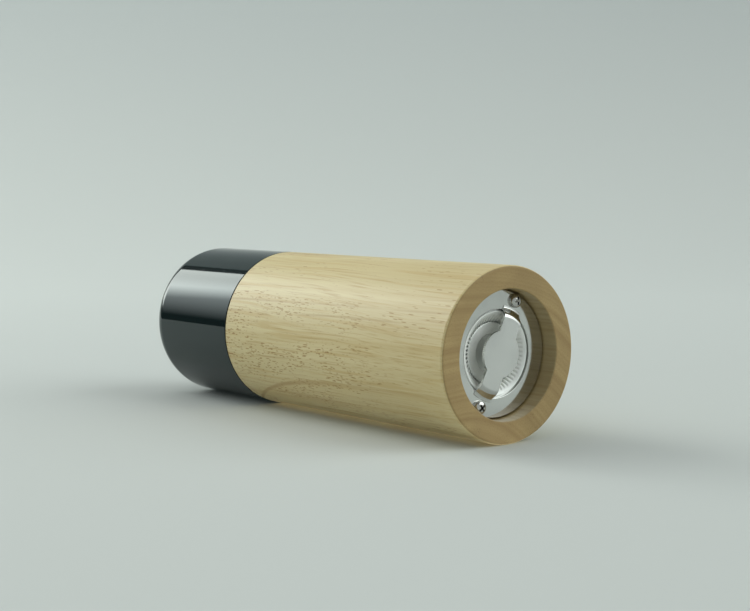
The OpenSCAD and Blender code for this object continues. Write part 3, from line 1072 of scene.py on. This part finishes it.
def wave_teeth(bm, depth_at):
    """Moves points outwards by the depth for their place, in a wave of one groove to each tooth."""
    for vert in bm.verts:
        depth = depth_at(vert.co.xy.length, vert.co.z)
        if depth:
            phase = math.atan2(vert.co.y, vert.co.x) * TEETH
            groove = (0.5 + 0.5 * math.cos(phase)) ** 1.2
            vert.co.xy *= 1 + depth * groove / vert.co.xy.length
    return bm


def steps_between(first, last, count):
    """Corners on the straight line between two corners, without its ends."""
    return [
        (first[0] + (last[0] - first[0]) * i / count, first[1] + (last[1] - first[1]) * i / count, 0)
        for i in range(1, count)
    ]


def ring_shape():
    outer = ring_high.x
    mouth = (outer - 0.4 * MM, ring_low.z, 0)
    edge = (RING_EDGE_R, EDGE_Z, 0)
    waist = (RING_EDGE_R - 1.5 * MM, WAIST_Z, 0)
    feed = (RING_EDGE_R + 1.2 * MM, ring_high.z, 0)
    outline = [(outer, ring_low.z, 0.12), (outer, ring_high.z, 0), feed, waist, edge]
    outline += steps_between(edge, mouth, 10) + [mouth]

    def groove_depth(radius, height):
        if radius > outer - 0.2 * MM or height > ring_high.z - 0.1 * MM:
            return 0
        if height >= EDGE_Z - 0.001 * MM:
            return RING_GROOVE
        on_funnel = (radius - RING_EDGE_R) / (mouth[0] - RING_EDGE_R)
        return RING_GROOVE * max(0, 1 - on_funnel / FUNNEL_SHARE) ** 0.7

    return wave_teeth(turned(outline, TEETH * 6), groove_depth)


def cone_shape():
    rim_r = RING_EDGE_R - RIM_GAP
    dish_z = cone_low.z + 2.0 * MM
    back_z = cone_high.z - 0.8 * MM
    outline = [
        (0, dish_z, 0), (DISH_R, dish_z, 0.4), (LAND_R, cone_low.z + 0.15 * MM, 0.4),
        (rim_r - 0.3 * MM, cone_low.z, 0.3), (rim_r, cone_low.z + 0.25 * MM, 0), (8.5 * MM, WAIST_Z, 0),
        (6.2 * MM, back_z, 0), (BACK_R, back_z, 0), (BACK_R, cone_high.z, 0.1), (0, cone_high.z, 0),
    ]

    def groove_depth(radius, height):
        between = cone_low.z + 0.1 * MM < height < cone_high.z - 0.9 * MM
        return -CONE_GROOVE if between and radius > 8.3 * MM else 0

    whole = wave_teeth(turned(outline, TEETH * 6), groove_depth)
    through = 3 * (cone_high.z - cone_low.z)
    return cut(whole, [bar((SOCKET, SOCKET, through), (0, 0, cone_high.z))])


piece("toothed_ring", ring_shape(), "grinding_ring", crease=50)
piece("dished_cone", cone_shape(), "grinding_cone", crease=50)

# %% [markdown]
# ## Cap
# The shell is turned from the seam to the hole for the shaft, with one large
# rounding at the top. A thin black washer lies in the seam.

# %% Turn the cap and its washer
washer_low, washer_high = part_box("slip_washer")
FERRULE_HOLE_R = 4 * MM
SHELL_WALL = 2 * MM
SHOULDER_R = 9


def shell_outline():
    inner_r = BODY_R - SHELL_WALL
    roof = CAP_TOP - SHELL_WALL
    return [
        (BODY_R, shell_low.z, 0.15), (BODY_R, CAP_TOP, SHOULDER_R), (FERRULE_HOLE_R, CAP_TOP, 0.2),
        (FERRULE_HOLE_R, roof, 0), (inner_r, roof, SHOULDER_R - 2), (inner_r, shell_low.z, 0),
    ]


def washer_outline():
    inner_r = collar_high.x + 0.5 * MM
    return [
        (inner_r, washer_low.z, 0), (washer_high.x, washer_low.z, 0.1),
        (washer_high.x, washer_high.z, 0.1), (inner_r, washer_high.z, 0),
    ]


piece("lacquered_shell", turned(shell_outline(), 256), "cap_shell", crease=40)
piece("seam_washer", turned(washer_outline()), "slip_washer")

# %% [markdown]
# ## Ferrule and adjusting nut
# The shaft comes through a polished ferrule, and the nut on it sets how close
# the cone sits to the ring. Its grip is grooved by narrow round bars that are
# cut along its side, and its top is domed.

# %% Ferrule and nut
ferrule_low, ferrule_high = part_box("top_ferrule")
nut_low, nut_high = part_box("adjuster_nut")
insert_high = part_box("nut_insert")[1]
GRIP_GROOVES = 30
THREAD_R = 2.5 * MM


def ferrule_outline():
    bore = THREAD_R + 0.25 * MM
    sleeve = FERRULE_HOLE_R - FIT
    return [
        (bore, ferrule_low.z, 0), (sleeve, ferrule_low.z, 0.1), (sleeve, CAP_TOP, 0),
        (ferrule_high.x, CAP_TOP, 0), (ferrule_high.x, ferrule_high.z, 0.3), (bore, ferrule_high.z, 0.2),
    ]


def nut_shape():
    grip_r = nut_high.x
    height = nut_high.z - nut_low.z
    bore_r = insert_high.x + FIT
    ceiling = insert_high.z + 0.3 * MM
    crown_r = grip_r * 0.62
    outline = [
        (bore_r, nut_low.z, 0), (grip_r - 0.5 * MM, nut_low.z, 0), (grip_r, nut_low.z + 0.5 * MM, 0.3),
        (grip_r, nut_high.z - height * 0.2, 1.2), (crown_r, nut_high.z, 1.0), (0, nut_high.z, 0),
        (0, ceiling, 0), (bore_r, ceiling, 0),
    ]
    groove_r = grip_r * math.pi / GRIP_GROOVES * 0.55
    groove_z = nut_low.z + 1.1 * MM
    reach = grip_r + groove_r * 0.35
    tools = []
    for i in range(GRIP_GROOVES):
        angle = 2 * math.pi * i / GRIP_GROOVES
        place = (reach * math.cos(angle), reach * math.sin(angle), groove_z)
        tools.append(drill(groove_r, height, place, sides=12))
    return cut(turned(outline, 180), [joined(tools)])


piece("rounded_ferrule", turned(ferrule_outline(), 96), "top_ferrule")
piece("grip_nut", nut_shape(), "adjuster_nut", crease=36)
